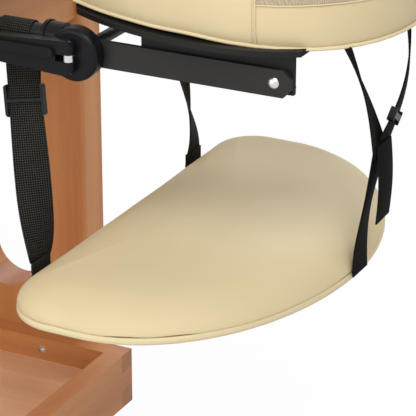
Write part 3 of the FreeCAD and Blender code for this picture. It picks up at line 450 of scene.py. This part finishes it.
def ring_stations():
    """Inner and outer points round the horseshoe, near tip first, with the near seam's place."""
    half = []
    for turn in TIP_TURNS:
        x = BACK_X - TIP_REACH * math.sin(math.radians(turn))
        middle = (BACK_HALF + HOLE_RADIUS) / 2
        reach = (BACK_HALF - HOLE_RADIUS) / 2 * math.cos(math.radians(turn))
        half.append((Vector((x, reach - middle, 0)), Vector((x, -reach - middle, 0))))
    for i in range(ARM_STEPS):
        x = BACK_X + (HOLE_X - BACK_X) * i / ARM_STEPS
        half.append((Vector((x, -HOLE_RADIUS, 0)), Vector((x, -arm_half(x), 0))))
    centre = Vector((HOLE_X, 0, 0))
    for turn in FRONT_TURNS:
        way = Vector((math.cos(math.radians(turn)), -math.sin(math.radians(turn)), 0))
        shift = (HOLE_X - FRONT_X) * way.x
        reach = -shift + math.sqrt(shift ** 2 + FRONT_RADIUS ** 2 - (HOLE_X - FRONT_X) ** 2)
        half.append((centre + HOLE_RADIUS * way, centre + reach * way))
    front = (Vector((HOLE_X + HOLE_RADIUS, 0, 0)), Vector((FRONT_X + FRONT_RADIUS, 0, 0)))
    flip = Matrix.Scale(-1, 3, (0, 1, 0))
    far = [(flip @ a, flip @ b) for a, b in reversed(half)]
    seam = len(half) - len(FRONT_TURNS) + FRONT_TURNS.index(SEAM_TURN)
    return half + [front] + far, seam


ring, seam_near = ring_stations()
seam_far = len(ring) - 1 - seam_near


def cushion_section(inner, outer):
    """Closed section of the cushion, outside first, over the crown, down the inside."""
    width = (outer - inner).length
    way = (outer - inner) / width
    part = min(1.0, width / FULL_WIDTH)
    lift = Vector((0, 0, 1))
    forward = min(max((outer.x - SAG_FROM) / SAG_RUN, 0.0), 1.0)
    sag = SAG * forward ** 2 * (3 - 2 * forward)
    outside = [outer - way * (d * part) + lift * (CUSHION_Z + h - sag * max(0.0, 1 - h / SAG_HEIGHT))
               for d, h in CUSHION_SIDE]
    inside = [inner + way * (d * part) + lift * (CUSHION_Z + h) for d, h in reversed(CUSHION_SIDE)]
    middle = (inner + outer) / 2
    return outside + [middle + lift * (CUSHION_Z + CROWN)] + inside + [middle + lift * CUSHION_Z]


sections = [cushion_section(inner, outer) for inner, outer in ring]
columns = len(sections[0])
verts = [soft_shift(at, CUSHION_WAVE, CUSHION_WAVE_SCALE) for section in sections for at in section]
faces = grid_faces(len(sections), columns)
faces += [tuple(range(columns)), tuple(range((len(sections) - 1) * columns, len(sections) * columns))]
top_column = len(CUSHION_SIDE)
HEM_COLUMNS = (0, 1, columns - 3, columns - 2, columns - 1)
OUTER_HEM = 1
INNER_HEM = columns - 3
PANEL_END = columns - 5


def cushion_held(index):
    """The hem and base all round, and the seam between cream and taupe."""
    row, column = divmod(index, columns)
    return column in HEM_COLUMNS or column == SEAM_ROW and seam_near <= row <= seam_far


verts, faces = swollen(verts, faces, cushion_held, CUSHION_CAP)
sections = [verts[i * columns:(i + 1) * columns] for i in range(len(ring))]
face_cushion = piece("face_cushion_cover", verts, faces, [vinyl_cream, taupe], "platform",
                     ("face_cushion",), [(v.x, v.y) for v in verts], COVER_DETAIL)
for face, patch in zip(faces, face_cushion.data.polygons):
    row = min(face) // columns
    across = {index % columns for index in face}
    over_top = min(across) >= SEAM_ROW and max(across) <= PANEL_END
    if len(face) == 4 and seam_near <= row < seam_far and over_top:
        patch.material_index = 1


def proud(index, column, rise):
    """Point of a section pushed out of the cushion's side."""
    inner, outer = ring[index]
    return sections[index][column] + (outer - inner).normalized() * rise


HEM_PROUD = 0.0006
HEM_RADIUS = 0.0021
SEAM_PROUD = 0.0001
SEAM_RADIUS = 0.0008
hem_outside = [proud(i, OUTER_HEM, HEM_PROUD) for i in range(len(ring))]
hem_inside = [proud(i, INNER_HEM, -HEM_PROUD) for i in reversed(range(len(ring)))]
tube("cushion_hem", hem_outside + hem_inside, HEM_RADIUS, vinyl_hem, "platform", True)
line = [proud(i, SEAM_ROW, SEAM_PROUD) for i in range(seam_near, seam_far + 1)]
tube("cushion_panel_seam", line, SEAM_RADIUS, vinyl_hem, "platform")
for side, index in (("near", seam_near), ("far", seam_far)):
    line = [proud(index, c, -SEAM_PROUD) for c in range(OUTER_HEM, top_column + 1)]
    tube("cushion_side_seam_" + side, line, SEAM_RADIUS, vinyl_hem, "platform")

# Stitches beside the side seams: each thread's swell at shares of its length
STITCH_FORM = ((0.0, 0.3), (0.3, 1.0), (0.7, 1.0), (1.0, 0.3))
STITCH_TURNS = (0, math.pi / 2, math.pi, 3 * math.pi / 2)
STITCH_PITCH = 0.0042
STITCH_LENGTH = 0.003
STITCH_RADIUS = 0.00035
STITCH_OFFSET = 0.0035
STITCH_PROUD = 0.0002
STITCH_COLUMNS = range(1, 8)


def stitches(name, line, material, body):
    """Row of short raised threads along a line of points."""
    verts = []
    faces = []
    gone = 0.0
    for a, b in zip(line, line[1:]):
        way = b - a
        reach = way.length
        way.normalize()
        wide = way.orthogonal().normalized()
        deep = way.cross(wide)
        at = -gone % STITCH_PITCH
        while at < reach:
            first = len(verts)
            for share, swell in STITCH_FORM:
                centre = a + way * (at + share * STITCH_LENGTH)
                verts += [centre + (wide * math.cos(t) + deep * math.sin(t)) * STITCH_RADIUS * swell
                          for t in STITCH_TURNS]
            threads = grid_faces(len(STITCH_FORM), len(STITCH_TURNS))
            faces += [tuple(first + i for i in face) for face in threads]
            at += STITCH_PITCH
        gone += reach
    piece(name, verts, faces, [material], body)


for side, index, step in (("near", seam_near, -1), ("far", seam_far, 1)):
    shift = (ring[index + step][1] - ring[index][1]).normalized() * STITCH_OFFSET
    line = [proud(index, c, STITCH_PROUD) + shift for c in STITCH_COLUMNS]
    stitches("cushion_stitches_" + side, line, thread, "platform")

# Flat pads: rows of one outline drawn in by set amounts
TOP_FOOT = -1.167
TOP_HEAD = 0.683
TOP_HALF = 0.350
TOP_CORNER = 0.040
TOP_CORNER_LEAST = 0.004
TOP_CORNER_STEPS = 8
TOP_SIDE_STEPS = (24, 10)
TOP_Z = 0.760


def top_outline(grow):
    """Rectangle of the top with round corners, drawn in by a negative grow."""
    radius = max(TOP_CORNER + grow, TOP_CORNER_LEAST)
    corners = ((TOP_HEAD, TOP_HALF, 0), (TOP_FOOT, TOP_HALF, 90),
               (TOP_FOOT, -TOP_HALF, 180), (TOP_HEAD, -TOP_HALF, 270))
    centres = []
    for x, y, turn in corners:
        cx = x + (grow - radius) * math.copysign(1, x)
        cy = y + (grow - radius) * math.copysign(1, y)
        centres.append((cx, cy, turn))
    points = []
    for i, (cx, cy, turn) in enumerate(centres):
        turns = [math.radians(turn + 90 / TOP_CORNER_STEPS * k) for k in range(TOP_CORNER_STEPS + 1)]
        arc = [(cx + radius * math.cos(t), cy + radius * math.sin(t)) for t in turns]
        nx, ny, after = centres[(i + 1) % len(centres)]
        goal_x = nx + radius * math.cos(math.radians(after))
        goal_y = ny + radius * math.sin(math.radians(after))
        steps = TOP_SIDE_STEPS[i % 2]
        last_x, last_y = arc[-1]
        run = [(last_x + (goal_x - last_x) * k / steps, last_y + (goal_y - last_y) * k / steps)
               for k in range(1, steps)]
        points += arc + run
    return points


SHELF_MID = 0.911
SHELF_BACK = 0.806
SHELF_HALF = 0.286
SHELF_DEEP = 0.197
SHELF_CORNER = 0.066
SHELF_CORNER_LEAST = 0.006
SHELF_FRONT_DEGREES = range(-90, 91, 3)
SHELF_CORNER_DEGREES = range(0, 91, 9)
SHELF_SIDE_STEPS = 3
SHELF_BACK_STEPS = 20


def shelf_outline(grow):
    """D outline of the shelf, half ellipse in front and straight at the back, drawn in likewise."""
    half = SHELF_HALF + grow
    deep = SHELF_DEEP + grow
    back = SHELF_BACK - grow
    radius = max(SHELF_CORNER + grow, SHELF_CORNER_LEAST)
    side = half - radius
    run = SHELF_MID - back - radius
    front_turns = [math.radians(t) for t in SHELF_FRONT_DEGREES]
    corner_turns = [math.radians(t) for t in SHELF_CORNER_DEGREES]
    side_shares = [k / SHELF_SIDE_STEPS for k in range(1, SHELF_SIDE_STEPS)]
    points = [(SHELF_MID + deep * math.cos(t), half * math.sin(t)) for t in front_turns]
    points += [(back + radius + run * (1 - share), half) for share in side_shares]
    points += [(back + radius - radius * math.sin(t), side + radius * math.cos(t)) for t in corner_turns]
    points += [(back, side - 2 * side * k / SHELF_BACK_STEPS) for k in range(1, SHELF_BACK_STEPS)]
    points += [(back + radius - radius * math.cos(t), -side - radius * math.sin(t)) for t in corner_turns]
    points += [(back + radius + run * share, -half) for share in side_shares]
    return points


# Rows of the crown, as shares of the way out from the middle
CROWN_SHARES = (0.85, 0.65, 0.45, 0.25)


def pad(name, outline, rows, crown, body, stands_for, wander, held_rows, cap):
    """Closed pad: a flat bottom, a row of points for each (draw, height), a crown drawn to its middle."""
    lines = [[Vector((x, y, z)) for x, y in outline(-draw)] for draw, z in rows]
    width = len(lines[0])
    middle = sum(lines[-1], Vector()) / width
    lift = Vector((0, 0, crown))
    lines += [[middle + (at - middle) * share + lift * (1 - share ** 2) for at in lines[-1]]
              for share in CROWN_SHARES]
    verts = [wander(at, row) for row, line in enumerate(lines) for at in line] + [middle + lift]
    faces = grid_faces(len(lines), width)
    last = (len(lines) - 1) * width
    faces += [tuple(range(width))]
    faces += [(last + i, last + (i + 1) % width, len(verts) - 1) for i in range(width)]
    verts, faces = swollen(verts, faces, lambda index: index // width in held_rows, cap)
    made = piece(name, verts, faces, [vinyl_cream], body, stands_for, None, COVER_DETAIL)


# Top cushion with its hem, edge seam and corner seams: its rows give the draw and the height
TOP_ROWS = [(d, TOP_Z + h) for d, h in (
    (0.012, 0.0002), (0.004, 0.003), (0.0008, 0.010), (0.0, 0.020), (0.0, 0.040), (0.002, 0.052),
    (0.007, 0.0612), (0.014, 0.0665), (0.024, 0.0695), (0.045, 0.0712), (0.090, 0.0722), (0.160, 0.0728))]
TOP_WAVE = 0.0011
TOP_WAVE_SCALE = 9.0
TOP_WELT_RADIUS = 0.0017
TOP_SEAM_RADIUS = 0.0010
TOP_SEAM_ROWS = slice(1, 7)


def top_wander(at, row):
    """Slight waves, the same way on every row."""
    return soft_shift(at, TOP_WAVE, TOP_WAVE_SCALE)


pad("top_cushion_cover", top_outline, TOP_ROWS, crown=0.0005, body="table", stands_for=("top_cushion",),
    wander=top_wander, held_rows=(0, 1, 6), cap=0.003)
for name, draw, rise in (("top_hem", 0.0028, 0.0045), ("top_edge_seam", 0.0062, 0.0610)):
    line = [Vector((x, y, TOP_Z + rise)) for x, y in top_outline(-draw)]
    tube(name, line, TOP_WELT_RADIUS, vinyl_hem, "table", True)
for end, x in (("head", TOP_HEAD), ("foot", TOP_FOOT)):
    for side, y in (("near", -TOP_HALF), ("far", TOP_HALF)):
        pull = TOP_CORNER * (1 - math.sqrt(0.5))
        corner = Vector((x - math.copysign(pull, x), y - math.copysign(pull, y), TOP_Z))
        inward = Vector((-math.copysign(1, x), -math.copysign(1, y), 0)).normalized()
        line = [corner + inward * draw + Vector((0, 0, z - TOP_Z)) for draw, z in TOP_ROWS[TOP_SEAM_ROWS]]
        seam = "top_corner_seam_%s_%s" % (end, side)
        tube(seam, line, TOP_SEAM_RADIUS, vinyl_hem, "table")

# Arm shelf pad with a skirt over the board's edge, and the vinyl band under it, in rows like the top's
SHELF_EDGE = 0.064
SHELF_RISE = 0.033
SHELF_LOW = 0.4552
SHELF_SKIRT = ((0.0029, 0.4582), (0.0028, 0.4542), (0.0010, 0.4527), (0.0, 0.4557))
SHELF_FULLNESS = 2.2
SHELF_DRAWS = (0.001, 0.003, 0.007, 0.013, 0.021, 0.032, 0.044)
SHELF_WAVE = 0.0009
SHELF_WAVE_SCALE = 12.0
PUCKER_ROWS = (1, 2)
PUCKER_LIFT = 0.0075
PUCKER_SCALE = 19.0
PUCKER_FROM = 0.10


def dome(draw):
    """Rise of the pad at a distance in from its edge."""
    fall = 1 - min(draw / SHELF_EDGE, 1.0)
    return SHELF_RISE * (1 - fall ** SHELF_FULLNESS) ** (1 / SHELF_FULLNESS)


SHELF_ROWS = SHELF_SKIRT + tuple((draw, SHELF_LOW + dome(draw)) for draw in SHELF_DRAWS)
BAND_ROWS = ((0.0180, 0.4458), (0.0180, 0.4451), (0.0040, 0.4449), (0.0008, 0.4456), (0.0, 0.4480),
             (0.0, 0.4510), (0.0010, 0.4532), (0.0026, 0.4536), (0.0026, 0.4459))


def shelf_wander(at, row):
    """Slight waves, with the skirt's lower edge lifted into puckers here and there."""
    moved = soft_shift(at, SHELF_WAVE, SHELF_WAVE_SCALE)
    if row in PUCKER_ROWS:
        moved.z += PUCKER_LIFT * max(0.0, noise.noise(at * PUCKER_SCALE) - PUCKER_FROM)
    return moved


pad("shelf_pad_cover", shelf_outline, SHELF_ROWS, crown=0.0080, body="shelf", stands_for=("shelf_pad",),
    wander=shelf_wander, held_rows=(0, 1, 2, 3), cap=0.004)
band_lines = [[Vector((x, y, z)) for x, y in shelf_outline(-draw)] for draw, z in BAND_ROWS]
band_verts = [at for line in band_lines for at in line]
band_faces = grid_faces(len(band_lines), len(band_lines[0]), wrap_rows=True)
piece("shelf_band", band_verts, band_faces, [vinyl_hem], "shelf")


# Webbing: flat ribbons that follow a path, with a flat map in metres for the weave
# The edge's points are in half widths and thicknesses
RIBBON_EDGE = ((-1.0, -0.25), (-0.96, -0.5), (0.96, -0.5), (1.0, -0.25),
               (1.0, 0.25), (0.96, 0.5), (-0.96, 0.5), (-1.0, 0.25))


def ribbon(name, path, body, stands_for, cloth=webbing):
    """Webbing through (point, width direction) pairs."""
    verts = []
    uvs = []
    gone = 0.0
    for i, (at, wide) in enumerate(path):
        before = path[max(i - 1, 0)][0]
        after = path[min(i + 1, len(path) - 1)][0]
        along = (after - before).normalized()
        wide = (wide - along * wide.dot(along)).normalized()
        face = along.cross(wide)
        gone += (at - before).length
        for x, y in RIBBON_EDGE:
            verts.append(at + wide * (x * WEB_WIDTH / 2) + face * (y * WEB_THICK))
            uvs.append((x * WEB_WIDTH / 2, gone))
    count = len(RIBBON_EDGE)
    faces = grid_faces(len(path), count)
    faces += [tuple(range(count)), tuple(range((len(path) - 1) * count, len(path) * count))]
    piece(name, verts, faces, [cloth], body, stands_for, uvs)


def heading(degrees):
    """Level direction at an angle from the x axis."""
    return Vector((math.cos(math.radians(degrees)), math.sin(math.radians(degrees)), 0))


# Rear straps and the shelf's tabs
ANCHOR = Vector((0.805, 0.184, 0.473))
STRAP_END_Z = 0.4771
BUCKLE_DROP = 0.066
LOOP_RADIUS = POLE_RADIUS + 0.0012
LOOP_DEGREES = range(-20, 201, 10)
LOW_SHARE = 0.7
RISE_STEPS = 30
RISE_END = 0.3
TUCK_STEPS = 4
TUCK_END = 0.25


def rear_path(side, loop_x, turn, power, sway):
    """Up from the shelf, twisting flat, through the buckle, over the pole and back into the buckle."""
    top = Vector((loop_x, side * POLE_Y, POLE_Z - LOOP_RADIUS))
    end = Vector((ANCHOR.x, side * ANCHOR.y, ANCHOR.z))
    buckle = BUCKLE_DROP / (end - top).length
    last = (top.z - STRAP_END_Z) / (top.z - end.z)
    path = []
    for i in range(RISE_STEPS + 1):
        share = last + (RISE_END * buckle - last) * i / RISE_STEPS
        low = max(0.0, (share - LOW_SHARE) / (last - LOW_SHARE))
        level = share + (last - LOW_SHARE) * (low ** 2 - low ** 3)
        at = top + (end - top) * level + Vector((sway * math.sin(math.pi * share), 0, 0))
        at.z = top.z + (end.z - top.z) * share
        path.append((at, heading(-side * turn * share ** power)))
    pole = Vector((loop_x, side * POLE_Y, POLE_Z))
    for t in LOOP_DEGREES:
        out = Vector((0, side * math.cos(math.radians(t)), math.sin(math.radians(t))))
        path.append((pole + out * LOOP_RADIUS, heading(0)))
    meet = top + (end - top) * buckle
    near_pole = path[-1][0]
    inner_end = meet + (top - meet) * TUCK_END - Vector((0, side * WEB_THICK, 0))
    for i in range(1, TUCK_STEPS + 1):
        path.append((near_pole + (inner_end - near_pole) * i / TUCK_STEPS, heading(0)))
    return path


path = rear_path(-1, loop_x=0.761, turn=90, power=2.2, sway=0.0)
ribbon("rear_webbing_near", path, "cradle_poles", ("rear_strap_near",))
path = rear_path(1, loop_x=0.774, turn=87, power=1.3, sway=0.010)
ribbon("rear_webbing_far", path, "cradle_poles", ("rear_strap_far",))
TAB_LOW = 0.450
TAB_TOP = 0.4779
TAB_STEPS = 6
for side, word in ((-1, "near"), (1, "far")):
    foot = Vector((ANCHOR.x, side * ANCHOR.y, TAB_LOW))
    path = [(foot + Vector((0, 0, (TAB_TOP - TAB_LOW) * i / TAB_STEPS)), Vector((0, 1, 0)))
            for i in range(TAB_STEPS + 1)]
    ribbon("shelf_tab_" + word, path, "shelf", ("shelf_tabs",) if side < 0 else ())

# Front Y strap: two legs, the main strap and the free tail
JOIN = Vector((1.130, 0, 0.604))
LEG_TOP_Z = 0.7497
LEG_HALF = 0.086
LEG_X = 1.120
LEG_SPREAD = 0.005
STRAIGHT_STEPS = 24
TOE = Vector((1.1105, 0, 0.450))


def straight(start, end, first, last, bow):
    """Path between two points with a steady turn of the width and a slight forward bow."""
    path = []
    for i in range(STRAIGHT_STEPS + 1):
        share = i / STRAIGHT_STEPS
        at = start + (end - start) * share + Vector((bow, 0, 0)) * math.sin(math.pi * share)
        path.append((at, heading(first + (last - first) * share)))
    return path


near_leg = straight(JOIN + Vector((0, -LEG_SPREAD, 0)), Vector((LEG_X, -LEG_HALF, LEG_TOP_Z)),
                    first=-84, last=-46, bow=0.004)
far_leg = straight(JOIN + Vector((0, LEG_SPREAD, 0)), Vector((LEG_X, LEG_HALF, LEG_TOP_Z)),
                   first=-90, last=-56, bow=0.016)
MAIN_RISE = 0.010
MAIN_STEPS = 30
MAIN_TWIST = 9
MAIN_LEAN = 0.005
# Makes share squared times (1 - share) reach one at its peak
LEAN_PEAK = 6.75
main_start = JOIN + Vector((WEB_THICK, 0, MAIN_RISE))
main = []
for i in range(MAIN_STEPS + 1):
    share = i / MAIN_STEPS
    lean = Vector((-MAIN_LEAN * LEAN_PEAK * share ** 2 * (1 - share), 0, 0))
    turn = heading(-90 + MAIN_TWIST * math.sin(math.pi * share) ** 2)
    main.append((main_start + (TOE - main_start) * share + lean, turn))
TAIL_GAP = 1.1 * WEB_THICK
TAIL_DROP = 0.004
TAIL_REACH = Vector((0.001, 0, -0.091))
tail_start = main_start + Vector((TAIL_GAP, 0, -TAIL_DROP))
tail = straight(tail_start, tail_start + TAIL_REACH, first=-90, last=-88, bow=0.003)
ribbon("front_leg_near", near_leg, "front_strap", ("front_strap",), webbing_front)
ribbon("front_leg_far", far_leg, "front_strap", (), webbing_front)
ribbon("front_main", main, "front_strap", (), webbing_front)
ribbon("front_tail", tail, "front_strap", ("strap_tail",), webbing_front)


# Camera, floor and light
camera = bpy.data.objects.new("camera", bpy.data.cameras.new("camera"))
bpy.context.scene.collection.objects.link(camera)
camera.data.sensor_width = 36.0
camera.data.lens = 187.6
camera.data.clip_end = 50.0
camera.location = (1.9628, -2.0535, 1.4571)
camera.rotation_euler = (math.radians(67.23), 0.0, math.radians(26.94))
bpy.context.scene.camera = camera

FLOOR_HALF = 14
FLOOR_Z = -0.001
FLOOR_GLOW = 0.95
WORLD_LIGHT = 0.45
floor_mesh = bpy.data.meshes.new("floor")
floor_corners = [(x * FLOOR_HALF, y * FLOOR_HALF, FLOOR_Z) for x, y in ((-1, -1), (1, -1), (1, 1), (-1, 1))]
floor_mesh.from_pydata(floor_corners, [], [(0, 1, 2, 3)])
floor = bpy.data.objects.new("floor", floor_mesh)
bpy.context.scene.collection.objects.link(floor)


def seen_directly(tree):
    """One for rays from the camera, from gloss and through glass."""
    path = tree.nodes.new("ShaderNodeLightPath")
    total = path.outputs["Is Camera Ray"]
    for name in ("Is Glossy Ray", "Is Transmission Ray"):
        larger = tree.nodes.new("ShaderNodeMath")
        larger.operation = "MAXIMUM"
        tree.links.new(total, larger.inputs[0])
        tree.links.new(path.outputs[name], larger.inputs[1])
        total = larger.outputs[0]
    return total


pale = bpy.data.materials.new("floor_pale")
pale.use_nodes = True
tree = pale.node_tree
shader = tree.nodes["Principled BSDF"]
shader.inputs["Base Color"].default_value = (0.82, 0.82, 0.81, 1.0)
shader.inputs["Roughness"].default_value = 0.8
glow = tree.nodes.new("ShaderNodeEmission")
glow.inputs["Strength"].default_value = 1.0
glow_share = tree.nodes.new("ShaderNodeMath")
glow_share.operation = "MULTIPLY"
glow_share.inputs[1].default_value = FLOOR_GLOW
tree.links.new(seen_directly(tree), glow_share.inputs[0])
mixed = tree.nodes.new("ShaderNodeMixShader")
for place, output in enumerate((glow_share, shader, glow)):
    tree.links.new(output.outputs[0], mixed.inputs[place])
tree.links.new(mixed.outputs[0], tree.nodes["Material Output"].inputs["Surface"])
floor_mesh.materials.append(pale)

world = bpy.data.worlds.new("studio")
bpy.context.scene.world = world
world.use_nodes = True
tree = world.node_tree
backdrop = tree.nodes["Background"]
backdrop.inputs["Color"].default_value = (1, 1, 1, 1)
level = tree.nodes.new("ShaderNodeMapRange")
level.inputs["To Min"].default_value = WORLD_LIGHT
level.inputs["To Max"].default_value = 1.0
tree.links.new(seen_directly(tree), level.inputs["Value"])
tree.links.new(level.outputs["Result"], backdrop.inputs["Strength"])


def lamp(name, at, target, size, power):
    """Rectangular lamp turned towards a target."""
    light = bpy.data.lights.new(name, "AREA")
    light.shape = "RECTANGLE"
    light.size, light.size_y = size
    light.energy = power
    item = bpy.data.objects.new(name, light)
    bpy.context.scene.collection.objects.link(item)
    item.location = at
    item.rotation_euler = (Vector(target) - Vector(at)).to_track_quat("-Z", "Y").to_euler()


lamp("key", at=(2.4, -2.3, 4.0), target=(0.7, 0, 0.6), size=(2.4, 2.4), power=150)
lamp("fill", at=(-0.6, -4.0, 1.6), target=(0.6, 0, 0.3), size=(3.0, 2.0), power=66)
lamp("back", at=(0.5, 3.6, 3.0), target=(0.3, 0, 0.6), size=(3.0, 2.0), power=82)
bpy.context.scene.view_settings.view_transform = "Standard"
